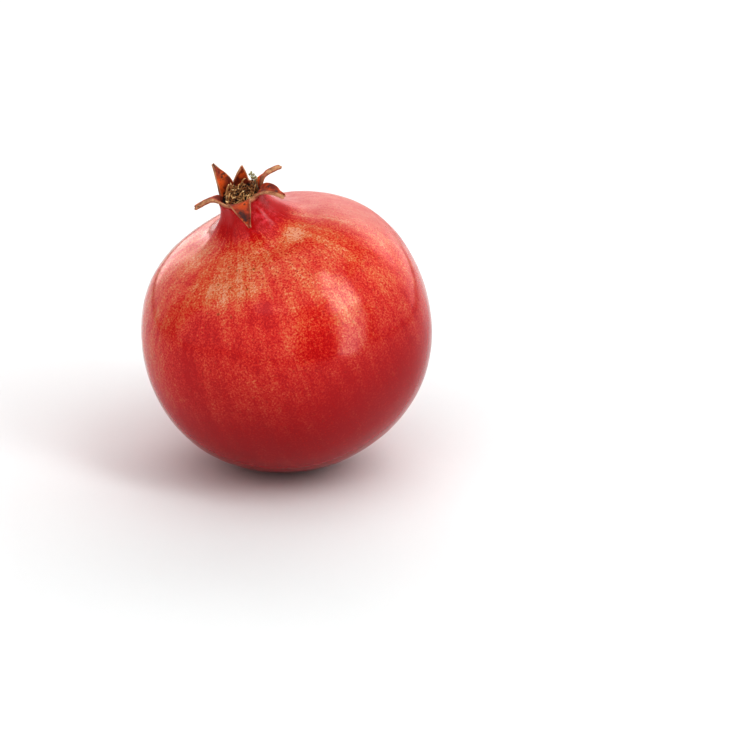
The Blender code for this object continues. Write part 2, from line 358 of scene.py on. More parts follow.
def make_flecks():
    """Noise cut at a threshold, with soft edges."""
    tree, given, result = start_group(
        "flecks",
        [("Place", "Vector"), ("Scale", "Float"), ("Threshold", "Float"), ("Softness", "Float")],
        [("Mask", "Float")],
    )
    sockets = {"Vector": given["Place"], "Scale": given["Scale"], "Detail": 2.5, "Roughness": 0.6}
    value = wire(tree, "ShaderNodeTexNoise", sockets)
    low = sums(tree, "SUBTRACT", given["Threshold"], given["Softness"])
    high = sums(tree, "ADD", given["Threshold"], given["Softness"])
    tree.links.new(stretch(tree, value, low, high), result["Mask"])
    return tree


def make_pores():
    """Round dots, one in each Voronoi cell that is kept. Size is their radius as a share of a cell."""
    tree, given, result = start_group(
        "pores",
        [("Place", "Vector"), ("Scale", "Float"), ("Size", "Float"), ("Keep", "Float")],
        [("Mask", "Float")],
    )
    cells = tree.nodes.new("ShaderNodeTexVoronoi")
    tree.links.new(given["Place"], cells.inputs["Vector"])
    tree.links.new(given["Scale"], cells.inputs["Scale"])
    draw = wire(tree, "ShaderNodeSeparateColor", {0: cells.outputs["Color"]})
    kept = sums(tree, "LESS_THAN", draw, given["Keep"])
    inner = sums(tree, "MULTIPLY", given["Size"], 0.35)
    dot = stretch(tree, cells.outputs["Distance"], given["Size"], inner)
    tree.links.new(sums(tree, "MULTIPLY", dot, kept), result["Mask"])
    return tree


def make_streaks():
    """Noise stretched from pole to pole: Turns is how often it varies round, Rise how often upwards."""
    tree, given, result = start_group(
        "streaks",
        [("Place", "Vector"), ("Turns", "Float"), ("Rise", "Float")],
        [("Value", "Float")],
    )
    x = wire(tree, "ShaderNodeSeparateXYZ", {0: given["Place"]})
    y = x.node.outputs[1]
    z = x.node.outputs[2]
    squared = sums(tree, "ADD", sums(tree, "MULTIPLY", x, x), sums(tree, "MULTIPLY", y, y))
    spread = sums(tree, "DIVIDE", given["Turns"], sums(tree, "SQRT", squared))
    flat = {
        0: sums(tree, "MULTIPLY", x, spread),
        1: sums(tree, "MULTIPLY", y, spread),
        2: sums(tree, "MULTIPLY", z, given["Rise"]),
    }
    place = wire(tree, "ShaderNodeCombineXYZ", flat)
    noise_sockets = {"Vector": place, "Scale": 1.0, "Detail": 3.0, "Roughness": 0.6}
    value = wire(tree, "ShaderNodeTexNoise", noise_sockets)
    tree.links.new(value, result["Value"])
    return tree


FLECKS = make_flecks()
PORES = make_pores()
STREAKS = make_streaks()


def use(tree, group, **sockets):
    """Places a node group in a tree and gives its first output."""
    return wire(tree, "ShaderNodeGroup", sockets, node_tree=group)


print("groups:", [group.name for group in bpy.data.node_groups])

# %% [markdown]
# ## The finish of the rind
# The ground colour is peach. Red lies over it in flecks half a millimetre wide, so close together on
# most of the fruit that only a peach net is left between them, and the net is gold where the sun
# did not reach. Faint streaks run from pole to pole. Low on the body the red turns to crimson, partly
# the skin's own colour and partly painted shade, and round the neck it is deep and plain. The left
# side gets a painted pink reflection, and the cheek on the right of the shoulder gets a painted pale
# sheen and is less glossy. One Mapping node places every pattern on the fruit's own axis.

# %% Spots where the rind differs
# Each spot has its middle on the fruit's own axes, the distance within which it is whole and the
# distance where it ends, in millimetres
GOLD_SPOT = ((-8, -25.5, 35), 2, 18)
PEACH_SPOT = ((14.5, -14.2, 38.5), 1, 6)
PALE_SPOT = ((-16.5, -7.5, 38), 2, 10)
# Painted sheen: the cheek is painted pale pink for the soft reflection of the lights behind it, and it
# is also rougher
PAINTED_SHEEN_SPOT = ((28, 14, 30), 14, 32)
# Painted reflection: the pink cast of the pale surroundings on the left side
PINK_REFLECTION_SPOT = ((-46, -14, 4), 8, 38)
# Painted highlights: pale pink mottles on the lit right side of the neck's foot
HIGHLIGHT_MOTTLE_SPOT = ((7.5, -8, 45), 2, 9)
DOTTED_SPOT = ((9, -24, 37.5), 4, 16)
RED_SPOTS = (
    ((15, -37.5, 23.5), 1, 9),
    ((12.5, -43.5, 14), 2, 9),
    ((-1, -37, 27), 1, 7),
    ((-7, -41.5, 22), 3, 17),
    ((-22, -38, 15), 4, 17),
    ((-18, -32, 29), 2, 9),
)


def distance(tree, place, point):
    """How far a place lies from a point."""
    sockets = {0: place, 1: point}
    return wire(tree, "ShaderNodeVectorMath", sockets, out=1, operation="DISTANCE")


def nearness(tree, place, spot):
    """1 at the middle of a spot, fading to 0 at its edge."""
    centre, whole, end = spot
    away = distance(tree, place, [value * MM for value in centre])
    return stretch(tree, away, end * MM, whole * MM)


print("spots of stronger red:", len(RED_SPOTS))

# %% [markdown]
# ## Ripeness, one value from peach to deep red
# Mixing a colour for every pattern would turn muddy, so the patterns are added up to one value first.
# Noise of four sizes makes blotches, streaks, clumps and flecks of it. The height, the neck and the
# spots raise or lower it, and one colour ramp turns the sum into colour.

# %% Ripeness and its colours
RIPENESS_COLORS = (
    (0.06, paint(222, 164, 138)),
    (0.24, paint(214, 132, 86)),
    (0.44, paint(213, 90, 64)),
    (0.64, paint(206, 46, 38)),
    (0.88, paint(186, 12, 20)),
    (1.0, paint(190, 6, 16)),
)
# What each pattern adds where it is whole. The four noises lie round a half, so half of what they
# weigh is taken off again, which leaves the middle ripeness
NOISE_WEIGHTS = {"blotches": 0.5, "streaks": 0.7, "clumps": 0.4, "fine": 1.5}
# The low weight deepens the red towards the bottom, partly the skin's own crimson and partly painted
# shade
PLACE_WEIGHTS = {"low": 0.44, "neck": 0.6, "reds": 0.2, "gold": -0.33, "peach": -0.42, "pale": -0.22}
MIDDLE_RIPENESS = 0.46


def weighed(tree, terms):
    """The sum of values times their weights."""
    total = 0.0
    for value, weight in terms:
        total = sums(tree, "ADD", sums(tree, "MULTIPLY", value, weight), total)
    return total


def ramp(tree, value, stops):
    """A colour ramp through (position, colour) stops."""
    made = tree.nodes.new("ShaderNodeValToRGB")
    made.color_ramp.interpolation = "EASE"
    while len(made.color_ramp.elements) < len(stops):
        made.color_ramp.elements.new(0.5)
    for element, (position, color) in zip(made.color_ramp.elements, stops):
        element.position = position
        element.color = color
    tree.links.new(value, made.inputs[0])
    return made.outputs[0]


def ripe_color(tree, patterns):
    """The skin's colour, from the patterns that make it riper or less ripe."""
    weights = {**NOISE_WEIGHTS, **PLACE_WEIGHTS}
    ripeness = weighed(tree, [(patterns[name], weight) for name, weight in weights.items()])
    offset = MIDDLE_RIPENESS - sum(NOISE_WEIGHTS.values()) / 2
    return ramp(tree, sums(tree, "ADD", ripeness, offset), RIPENESS_COLORS)


print("colours from peach to deep red:", len(RIPENESS_COLORS))

# %% The patterns of the rind
BLOTCH_SIZE = 20 * MM
CLUMP_SIZE = 4.2 * MM
FLECK_SIZE = 0.58 * MM
NECK_RED = (NECK_SIDE + 1.2 * MM, -0.6 * MM, NECK_FOOT + 5.6 * MM)
NECK_RED_WHOLE = 8 * MM
NECK_RED_END = 15.5 * MM
NECK_RED_RAGGED = 9 * MM
# Where the crimson low on the body ends and where it is whole: partly the skin's own colour, partly
# painted shade
LOW_CRIMSON_AND_SHADE_END = 24 * MM
LOW_CRIMSON_AND_SHADE_WHOLE = -20 * MM


def rind_patterns(tree, place):
    """Every pattern that makes the rind riper or less ripe, by its name."""
    height = wire(tree, "ShaderNodeSeparateXYZ", {0: place}, out=2)
    fine_streaks = use(tree, STREAKS, Place=place, Turns=42.0, Rise=110.0)
    ragged = sums(tree, "MULTIPLY", sums(tree, "SUBTRACT", fine_streaks, 0.5), NECK_RED_RAGGED)
    to_neck = sums(tree, "ADD", distance(tree, place, NECK_RED), ragged)
    reds = [(nearness(tree, place, spot), 1.0) for spot in RED_SPOTS]
    return {
        "blotches": cloud(tree, place, BLOTCH_SIZE, 3.0, 0.55),
        "streaks": use(tree, STREAKS, Place=place, Turns=11.0, Rise=34.0),
        "fine_streaks": fine_streaks,
        "clumps": cloud(tree, place, CLUMP_SIZE, 2.0, 0.6),
        "fine": cloud(tree, place, FLECK_SIZE, 2.0, 0.7),
        # Crimson towards the bottom, partly painted shade
        "low": stretch(tree, height, LOW_CRIMSON_AND_SHADE_END, LOW_CRIMSON_AND_SHADE_WHOLE),
        "neck": stretch(tree, to_neck, NECK_RED_END, NECK_RED_WHOLE),
        "reds": weighed(tree, reds),
        "gold": nearness(tree, place, GOLD_SPOT),
        "peach": nearness(tree, place, PEACH_SPOT),
        "pale": nearness(tree, place, PALE_SPOT),
        # The cheek with a painted pale sheen, which is also rougher
        "painted_sheen_cheek": nearness(tree, place, PAINTED_SHEEN_SPOT),
    }


print("the neck's red ends", round(NECK_RED_END / MM, 1), "mm from its middle")

# %% [markdown]
# ## Tints and dots over the ripe skin
# What isn't a matter of ripeness is laid over it: a painted pale sheen on the cheek, a painted pink
# reflection on the left, crimson below that is partly painted shade, pale mottles beside the neck that
# are painted highlights, red dots among the flecks, and brown pores that show most in the gold. The
# wax makes the skin glossy, a little less so on the clumps, the neck and the rougher cheek.

# %% The rind's material
# The size of the painted highlight mottles
HIGHLIGHT_MOTTLE_SIZE = 1.6 * MM
DOT_SPACING = 0.95 * MM
PORE_SPACING = 2.9 * MM
WAX_IOR = 1.46
SKIN_GRAIN = 0.1 * MM


def lay_tints(tree, place, patterns, dots, pores, skin):
    """Lays the tints (painted sheen, painted reflection and partly painted shade among them), painted
    highlight mottles, dots and pores over the skin, from the lowest to the uppermost.
    """
    highlight_mottles = stretch(tree, cloud(tree, place, HIGHLIGHT_MOTTLE_SIZE, 3.0, 0.6), 0.46, 0.64, 0.0, 0.5)
    clumped = stretch(tree, patterns["clumps"], 0.4, 0.6, 0.3, 0.85)
    dotted = sums(tree, "ADD", clumped, nearness(tree, place, DOTTED_SPOT))
    dotted = sums(tree, "MINIMUM", dotted, 1.0)
    browned = stretch(tree, patterns["gold"], 0.0, 0.6, 0.25, 0.9)
    pore_color = layer(tree, patterns["gold"], paint(150, 44, 18), paint(160, 92, 30))
    for mask, strength, color in (
        # Painted sheen: pale pink on the cheek
        (patterns["painted_sheen_cheek"], 0.6, paint(182, 82, 76)),
        # Painted reflection: pink on the left side
        (nearness(tree, place, PINK_REFLECTION_SPOT), 0.34, paint(184, 34, 56)),
        # Crimson below, partly the skin's own colour and partly painted shade
        (patterns["low"], 0.7, paint(148, 4, 20)),
        # Painted highlights: pale pink mottles beside the neck
        (nearness(tree, place, HIGHLIGHT_MOTTLE_SPOT), highlight_mottles, paint(232, 92, 104)),
        (dots, dotted, paint(184, 16, 12)),
        (pores, browned, pore_color),
    ):
        skin = tinted(tree, mask, strength, skin, color)
    return skin


def make_rind_finish():
    made, tree, shader = start_material("rind_finish")
    coords = wire(tree, "ShaderNodeTexCoord", {}, out=3)
    mapping = {"Vector": coords, "Location": middle, "Rotation": lean.to_euler()}
    place = wire(tree, "ShaderNodeMapping", mapping, vector_type="TEXTURE")
    patterns = rind_patterns(tree, place)
    dots = use(tree, PORES, Place=place, Scale=1 / DOT_SPACING, Size=0.36, Keep=0.85)
    pores = use(tree, PORES, Place=place, Scale=1 / PORE_SPACING, Size=0.22, Keep=0.6)
    skin = lay_tints(tree, place, patterns, dots, pores, ripe_color(tree, patterns))
    waxy = stretch(tree, patterns["clumps"], 0.3, 0.7, 0.10, 0.17)
    rough = weighed(tree, [(waxy, 1.0), (patterns["neck"], 0.12), (patterns["painted_sheen_cheek"], 0.2)])
    grain = weighed(tree, [
        (patterns["fine"], 0.5), (dots, -0.2), (pores, -0.5), (patterns["fine_streaks"], 0.25),
    ])
    shader.inputs["IOR"].default_value = WAX_IOR
    dress(tree, shader, skin, rough, grain, strength=0.3, depth=SKIN_GRAIN)
    return made


piece_from(rind, "rind_skin", "fruit", [make_rind_finish()], crease=60)

# %% [markdown]
# ## The calyx, in one sheet
# The crown grew as one sheet of leathery tissue: a short tube on the neck that splits into six
# pointed sepals. Six separate blades stuck to a ring would show their joints, so here one circle of
# edges is extruded up into the tube, and then each sepal's share of the top edges is extruded on, row
# by row, along that sepal's own curve. Solidify gives the sheet its thickness at the end.

# %% The sepals' sizes and curves
# Each sepal has its place round the rim, the span of the rim that it grows from, its length and width
# in millimetres, its slopes at root and tip, its swing to one side, its roll, and how blunt its tip
# is, as a share of its width. Angles are in degrees
Sepal = namedtuple("Sepal", "place span length width slope tip_slope swing roll blunt")
SEPALS = (
    Sepal(12, (-5, 45), 8.9, 6.0, 51, 3, -6, -26, 0.24),
    Sepal(86, (60, 105), 6.4, 5.4, 112, 118, 70, 0, 0.06),
    Sepal(131, (105, 160), 9.7, 6.8, 97, 72, 1, 0, 0.06),
    Sepal(184, (160, 225), 8.5, 6.0, 35, -3, 15, 26, 0.30),
    Sepal(267, (225, 300), 10.2, 7.2, 17, -77, 10, 0, 0.08),
    Sepal(332, (300, 355), 9.0, 6.6, 22, -42, 2, 0, 0.28),
)
RIM_STEP = 5
TUBE_RADIUS = 6.95 * MM
TUBE_TAPER = 0.35 * MM
TUBE_FOOT = 10.9 * MM
TUBE_TOP = 12.7 * MM
SEPAL_THICKNESS = 1.5 * MM
THIN_SHARE = 0.54
BLUNT_ENOUGH = 0.2
CUPPED_EDGE = 0.22 * MM
WAVED_EDGE = 0.20 * MM
TUBE_ROWS = 3
STATIONS = 26
COURSE_STEPS = 54


def course(sepal):
    """The middle line of a sepal as (point, way) pairs, and its side direction."""
    turn = math.radians(sepal.place)
    swing = math.radians(sepal.swing)
    out = Vector((math.cos(turn), math.sin(turn), 0))
    side = Vector((-math.sin(turn), math.cos(turn), 0))
    heading = out * math.cos(swing) + side * math.sin(swing)
    point = out * TUBE_RADIUS + Vector((0, 0, TUBE_TOP))
    line = []
    for i in range(COURSE_STEPS + 1):
        curled = ease((i + 0.5) / COURSE_STEPS, 0, 0.8)
        bent = math.radians(sepal.slope + (sepal.tip_slope - sepal.slope) * curled)
        way = heading * math.cos(bent) + Vector((0, 0, math.sin(bent)))
        line.append((point.copy(), way))
        point += way * sepal.length * MM / COURSE_STEPS
    return line, side


def half_width(sepal, share):
    """Half a sepal's width at a share of its length, with a round end if it is blunt."""
    tapered = max(1 - share ** 1.5, sepal.blunt)
    cap_start = 1 - sepal.blunt * sepal.width / 2 / sepal.length
    past_cap = max(0.0, (share - cap_start) / (1 - cap_start))
    return sepal.width * MM / 2 * tapered * math.sqrt(1 - 0.9 * past_cap ** 2)


print("sepals:", len(SEPALS))

# %% The tube of the calyx
def extrude(bm, edges):
    """Extrudes edges, and returns the new points, still in place, and the edges between them."""
    made = bmesh.ops.extrude_edge_only(bm, edges=edges)["geom"]
    points = {item for item in made if isinstance(item, bmesh.types.BMVert)}
    far = [item for item in made if isinstance(item, bmesh.types.BMEdge)]
    return points, [edge for edge in far if points.issuperset(edge.verts)]


def start_calyx():
    """The tube, with its top edges and the layers that hold where a point lies on a sepal."""
    bm = bmesh.new()
    across = bm.verts.layers.float.new("edge_share")
    thick = bm.verts.layers.deform.new()
    along = bm.verts.layers.float.new("tip_share")
    circle = bmesh.ops.create_circle(bm, segments=360 // RIM_STEP, radius=TUBE_RADIUS - TUBE_TAPER)
    bmesh.ops.translate(bm, verts=circle["verts"], vec=(0, 0, TUBE_FOOT))
    for vert in bm.verts:
        vert[along] = -1.0
    edges = bm.edges[:]
    for row in range(1, TUBE_ROWS + 1):
        points, edges = extrude(bm, edges)
        share = row / TUBE_ROWS
        for vert in points:
            turn = math.atan2(vert.co.y, vert.co.x)
            fluted = 1 + FLUTE_RELIEF * math.cos(FLATS * (turn - FLUTE_TURN)) * (1 - share)
            radius = (TUBE_RADIUS - TUBE_TAPER * (1 - share) ** 2) * fluted
            height = TUBE_FOOT + (TUBE_TOP - TUBE_FOOT) * share
            vert.co = Vector((math.cos(turn) * radius, math.sin(turn) * radius, height))
            vert[along] = share - 1
    for vert in bm.verts:
        vert[thick][0] = THIN_SHARE
    return bm, across, along, thick, edges


calyx, EDGE_SHARE, TIP_SHARE, THICKNESS, rim_edges = start_calyx()
print("tube faces:", len(calyx.faces))

# %% Each sepal grows from its share of the rim
def turn_of(point, start):
    """A point's turn round Z in degrees, at or after the start."""
    turn = math.degrees(math.atan2(point.y, point.x))
    return start + (turn - start + 0.5) % 360 - 0.5


def blade_point(sepal, line, side, share, across, seed):
    """Where a sepal's sheet lies, at shares of its length and of its half width."""
    exact = share * COURSE_STEPS
    low = min(int(exact), COURSE_STEPS - 1)
    point = line[low][0].lerp(line[low + 1][0], exact - low)
    way = line[low][1]
    half = half_width(sepal, share)
    face = side.cross(way).normalized()
    rolled = Matrix.Rotation(math.radians(sepal.roll) * ease(share, 0, 0.4), 3, way)
    follow_rim = half ** 2 / (2 * TUBE_RADIUS) * (1 - share) * across ** 2
    cupped = CUPPED_EDGE * ease(share, 0.1, 0.4) * abs(across) ** 3
    waved = WAVED_EDGE * noise.noise(Vector((across * 1.3 + seed * 7, share * 4.5, seed)))
    waved *= ease(share, 0.05, 0.3)
    return point + rolled @ (side * half * across - face * (follow_rim + cupped + waved))


def grow_sepal(bm, rim, number, sepal):
    """Extrudes a sepal from its span of the rim, row by row. Only blunt sepals thicken to the tip."""
    line, side = course(sepal)
    start, end = sepal.span
    edges = [
        edge for edge in rim
        if all(start - 0.1 < turn_of(vert.co, start) < end + 0.1 for vert in edge.verts)
    ]
    row = {}
    for vert in {vert for edge in edges for vert in edge.verts}:
        across = 2 * (turn_of(vert.co, start) - start) / (end - start) - 1
        vert[EDGE_SHARE] = abs(across)
        row[vert] = (vert.co.copy(), across)
    for station in range(1, STATIONS + 1):
        share = 1 - (1 - station / STATIONS) ** 1.35
        thicker = ease(share, 0, 0.7) * (sepal.blunt > BLUNT_ENOUGH)
        points, edges = extrude(bm, edges)
        next_row = {}
        for vert in points:
            below = min(row, key=lambda known: (known.co - vert.co).length_squared)
            next_row[vert] = row[below]
        for vert, (root, across) in next_row.items():
            blade = blade_point(sepal, line, side, share, across, number)
            risen = root + Vector((0, 0, share * sepal.length * MM * 0.4))
            vert.co = risen.lerp(blade, ease(share, 0, 0.16))
            vert[EDGE_SHARE] = abs(across)
            vert[TIP_SHARE] = share
            vert[THICKNESS][0] = THIN_SHARE + (1 - THIN_SHARE) * thicker
        row = next_row


for number, sepal in enumerate(SEPALS):
    grow_sepal(calyx, rim_edges, number, sepal)
bmesh.ops.remove_doubles(calyx, verts=calyx.verts, dist=0.4 * WELD)
bmesh.ops.transform(calyx, matrix=neck_place, verts=calyx.verts)
print("calyx faces:", len(calyx.faces))

# %% [markdown]
# ## Three finishes on one sheet
# Dry sepals are red brown inside, tan along the cut edge, and on the outside they still carry the
# red of the rind, which fades to tan above the tube. Solidify can give the inner face and the edge
# materials of their own, by an offset in the list of materials. Where along a sepal a point lies was
# written into the mesh as two attributes while it grew, and the materials read those.

# %% Stains and warm spots on the inner faces
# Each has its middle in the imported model's frame, the distance within which it is whole and the
# distance where it ends, in millimetres
STAINS = (
    ((-14.1, -20.2, 91.4), 0.3, 1.1),
    ((-13.3, -20.9, 90.2), 0.4, 1.2),
    ((-12.8, -21.0, 89.2), 0.3, 0.9),
    ((-5.6, -13.2, 97.9), 0.2, 1.0),
    ((-3.3, -15.5, 96.8), 0.1, 0.8),
    ((-23.2, -5.4, 102.8), 0.4, 1.7),
)
WARM_SPOTS = (
    ((-20.9, -5.8, 96.4), 0.5, 3.6),
    ((-13.8, -18.5, 94.5), 0.3, 3.0),
)
PATCH_SIZE = 3.2 * MM
FIBRE_SIZE = 0.55 * MM
WARM_SIZE = 5.0 * MM
WORN_SIZE = 2.6 * MM
FLECK_SPACING = 2.1 * MM
STAIN_RAGGED = 2.4 * MM
FIBRE_BROWN = paint(104, 50, 30)
FLECK_BROWN = paint(62, 34, 30)
STAIN_GREY = paint(74, 52, 52)
MARGIN_TAN = paint(206, 156, 114)
ROOT_RED = paint(178, 26, 28)


def from_mesh(tree, name):
    """A value that the mesh holds at each point."""
    return wire(tree, "ShaderNodeAttribute", {}, out=2, attribute_name=name)


print("stains:", len(STAINS))

# %% The sepals' materials
def make_sepal_finish(name, base, deep, warm, edge_strength, root_red, warm_spots=(), stains=()):
    """Dry tissue in a base, a deep and a warm colour, with fibres, flecks, stains and a tan margin."""
    made, tree, shader = start_material(name)
    place = wire(tree, "ShaderNodeTexCoord", {}, out=3)
    patches = cloud(tree, place, PATCH_SIZE, 3.0, 0.6)
    fibres = cloud(tree, place, FIBRE_SIZE, 3.0, 0.7)
    flecks = use(tree, FLECKS, Place=place, Scale=1 / FLECK_SPACING, Threshold=0.66, Softness=0.05)
    color = layer(tree, stretch(tree, patches, 0.42, 0.62), base, deep)
    color = layer(tree, stretch(tree, cloud(tree, place, WARM_SIZE), 0.52, 0.66), color, warm)
    for spot in warm_spots:
        color = tinted(tree, nearness(tree, place, spot), 0.85, color, warm)
    color = layer(tree, stretch(tree, fibres, 0.5, 0.75, 0.0, 0.45), color, FIBRE_BROWN)
    color = tinted(tree, flecks, 0.75, color, FLECK_BROWN)
    ragged = sums(tree, "MULTIPLY", sums(tree, "SUBTRACT", fibres, 0.5), STAIN_RAGGED)
    strayed = wire(tree, "ShaderNodeVectorMath", {0: place, 1: ragged}, operation="ADD")
    for spot in stains:
        color = tinted(tree, nearness(tree, strayed, spot), 0.9, color, STAIN_GREY)
    worn = stretch(tree, cloud(tree, place, WORN_SIZE), 0.38, 0.6, 0.25, 1.0)
    margin = stretch(tree, from_mesh(tree, "edge_share"), 0.84, 0.98)
    margin = sums(tree, "MULTIPLY", margin, edge_strength)
    color = tinted(tree, margin, worn, color, MARGIN_TAN)
    root = stretch(tree, from_mesh(tree, "tip_share"), -0.1, -0.6)
    color = tinted(tree, root, root_red, color, ROOT_RED)
    rough = stretch(tree, fibres, 0.3, 0.7, 0.55, 0.75)
    grain = weighed(tree, [(fibres, 1.0), (patches, 1.5)])
    dress(tree, shader, color, rough, grain, strength=0.5, depth=0.15 * MM)
    return made


sepal_outside = make_sepal_finish(
    "sepal_outside", paint(196, 140, 108), paint(168, 104, 80), paint(186, 108, 84),
    edge_strength=0.6, root_red=1.0,
)
sepal_inside = make_sepal_finish(
    "sepal_inside", paint(186, 82, 46), paint(132, 52, 36), paint(234, 112, 34),
    edge_strength=0.6, root_red=0.0, warm_spots=WARM_SPOTS, stains=STAINS,
)
sepal_edge = make_sepal_finish(
    "sepal_edge", paint(204, 158, 122), paint(158, 106, 78), paint(186, 122, 94),
    edge_strength=0.0, root_red=0.0,
)
print("sepal finishes:", sepal_outside.name, sepal_inside.name, sepal_edge.name)

# %% The sheet gets its thickness
bmesh.ops.recalc_face_normals(calyx, faces=calyx.faces)
calyx_piece = piece_from(
    calyx, "calyx_sepals", "calyx_crown", [sepal_outside, sepal_inside, sepal_edge]
)
calyx_piece.vertex_groups.new(name="thickness")
thick = calyx_piece.modifiers.new("thick", "SOLIDIFY")
thick.thickness = SEPAL_THICKNESS
thick.vertex_group = "thickness"
thick.offset = 0
thick.material_offset = 1
thick.material_offset_rim = 2
rounded = calyx_piece.modifiers.new("rounded", "SUBSURF")
rounded.levels = 1
rounded.render_levels = 1

# %% [markdown]
# ## The withered stamens
# A fresh flower has hundreds of stamens, and dry ones mat into a heap that fills the cup. Each is a
# hair-thin filament with a bean of an anther at its end. One rod and one bean, both with few faces,
# are bent by a formula and scattered with a seeded draw, over a near-black core that closes the gaps
# and is painted shade between the stamens.

# %% The dark core of the heap, painted shade between the stamens
HEAP_RADIUS = 6.3 * MM
HEAP_FLOOR = CUP_FLOOR + 0.3 * MM - NECK_FOOT
HEAP_TOP = 12.9 * MM
HEAP_DOME = 0.6 * MM
BANK_HEIGHT = 1.7 * MM
BANK_TURN = math.radians(112)
CORE_SUNK = 1.9 * MM
CORE_RINGS = 14
CORE_LUMP_SIZE = 0.9 * MM
CORE_LUMP_HEIGHT = 0.5 * MM


def heap_height(x, y):
    """The heap's top, from the neck's foot: a low dome that is banked up on the back sepals."""
    dome = HEAP_DOME * (math.hypot(x, y) / HEAP_RADIUS) ** 2
    toward_bank = (x * math.cos(BANK_TURN) + y * math.sin(BANK_TURN)) / HEAP_RADIUS
    return HEAP_TOP - dome + BANK_HEIGHT * ease(toward_bank, -0.5, 0.9)


core_outline = [(0, HEAP_FLOOR), (HEAP_RADIUS, HEAP_FLOOR)]
for ring in range(CORE_RINGS, -1, -1):
    core_outline.append((HEAP_RADIUS * ring / CORE_RINGS, HEAP_TOP - CORE_SUNK))
heap = turned(core_outline, 64)
for vert in heap.verts:
    if vert.co.z > HEAP_FLOOR + MM:
        vert.co.z = heap_height(vert.co.x, vert.co.y) - CORE_SUNK
        vert.co.z += CORE_LUMP_HEIGHT * noise.noise(vert.co / CORE_LUMP_SIZE)
print("heap core faces:", len(heap.faces))

# %% Filaments and anthers
def bent_course(place, length, tilt, droop, rows=6):
    """The places along a rod that starts at tilt from upright and bends on by droop, in radians."""
    here = place @ Matrix.Rotation(tilt, 4, "Y")
    bend = Matrix.Translation((0, 0, length / rows)) @ Matrix.Rotation(droop / rows, 4, "Y")
    places = [here]
    for _ in range(rows):
        here = here @ bend
        places.append(here)
    return places


def filament(bm, places, radius, flatness=0.5, sides=4):
    """A flattened rod along a course of places."""
    start = places[0] @ Matrix.Diagonal((1, flatness, 1, 1))
    circle = bmesh.ops.create_circle(bm, cap_ends=True, segments=sides, radius=radius, matrix=start)
    edges = list({edge for vert in circle["verts"] for edge in vert.link_edges})
    for before, after in zip(places, places[1:]):
        points, edges = extrude(bm, edges)
        bmesh.ops.transform(bm, matrix=after @ before.inverted(), verts=list(points))


def anther(bm, place, length, radius, bend):
    """A bent bean with a groove down one side."""
    made = bmesh.ops.create_icosphere(bm, subdivisions=1, radius=1)
    for vert in made["verts"]:
        share = vert.co.z
        groove = 0.72 if vert.co.x > 0.6 else 1.0
        x = vert.co.x * radius * groove + bend * share * share
        vert.co = place @ Vector((x, vert.co.y * radius, share * length / 2))


# As shares of the heap's radius: where stamens root, and how far out they may reach
ROOT_REACH = 0.92
ROOM_IN_CUP = 0.94
ROOM_ABOVE = 1.15


def inside_cup(places, free_above):
    """Whether a stamen stays within the wall of the cup, which it may leave above a height."""
    for place in places:
        x, y, height = place.translation
        room = ROOM_IN_CUP if height < free_above else ROOM_ABOVE
        if math.hypot(x, y) > room * HEAP_RADIUS:
            return False
    return True


def scatter(draw, count, nearest, turns, lengths, tilts, droops, swerve, free_above):
    """Courses of stamens rooted in the heap, drawn until enough of them stay inside the cup."""
    found = []
    while len(found) < count:
        off_centre = ROOT_REACH * HEAP_RADIUS * math.sqrt(draw.uniform(nearest, 1))
        around = math.radians(draw.uniform(*turns))
        x = math.cos(around) * off_centre
        y = math.sin(around) * off_centre
        root = Vector((x, y, heap_height(x, y) - draw.uniform(1.0, 2.2) * MM))
        facing = around + math.pi + draw.gauss(0, swerve)
        place = Matrix.Translation(root) @ Matrix.Rotation(facing, 4, "Z")
        places = bent_course(place, draw.uniform(*lengths), draw.uniform(*tilts), draw.uniform(*droops))
        if inside_cup(places, free_above):
            found.append(places)
    return found


print("heap radius:", round(HEAP_RADIUS / MM, 2), "mm")

# %% The matted stamens and the few that still stand
MATTED = 170
UPRIGHT = 13
WITH_ANTHER = 0.6
PALE_ANTHERS = 0.6
STAMEN_SEED = 11


def grow_stamens(seed):
    """The filaments and the anthers, as one bmesh for each finish."""
    draw = random.Random(seed)
    matted, upright, pale, dark, green = (bmesh.new() for _ in range(5))
    lying = scatter(
        draw, MATTED, nearest=0.0, turns=(0, 360), lengths=(1.8 * MM, 4.0 * MM),
        tilts=(0.3, 1.4), droops=(0.4, 2.6), swerve=1.5, free_above=math.inf,
    )
    for places in lying:
        filament(matted, places, draw.uniform(0.15, 0.34) * MM)
        if draw.random() < WITH_ANTHER:
            beans = pale if draw.random() < PALE_ANTHERS else dark
            length = draw.uniform(0.9, 1.5) * MM
            radius = draw.uniform(0.24, 0.38) * MM
            bend = draw.uniform(-0.35, 0.35) * MM
            anther(beans, places[-1], length, radius, bend)
    draw = random.Random(seed + 1)
    standing = scatter(
        draw, UPRIGHT, nearest=0.78, turns=(2, 40), lengths=(2.8 * MM, 4.5 * MM),
        tilts=(-0.38, 0.0), droops=(-0.2, 0.3), swerve=0.5, free_above=TUBE_TOP + 0.5 * MM,
    )
    for places in standing:
        filament(upright, places, 0.08 * MM)
        length = draw.uniform(0.75, 1.1) * MM
        radius = draw.uniform(0.28, 0.40) * MM
        anther(green, places[-1], length, radius, 0.1 * MM)
    return matted, upright, pale, dark, green


matted_rods, upright_rods, pale_beans, dark_beans, green_beans = grow_stamens(STAMEN_SEED)
print("stamens:", MATTED + UPRIGHT)

# %% [markdown]
# ## One recipe for everything dry
# The filaments, the anthers and the stem end are dead plant matter, and the heap's near-black core is
# painted shade among them: each is a ground colour with darker patches and paler grain. One function
# mixes them from a table of colours.

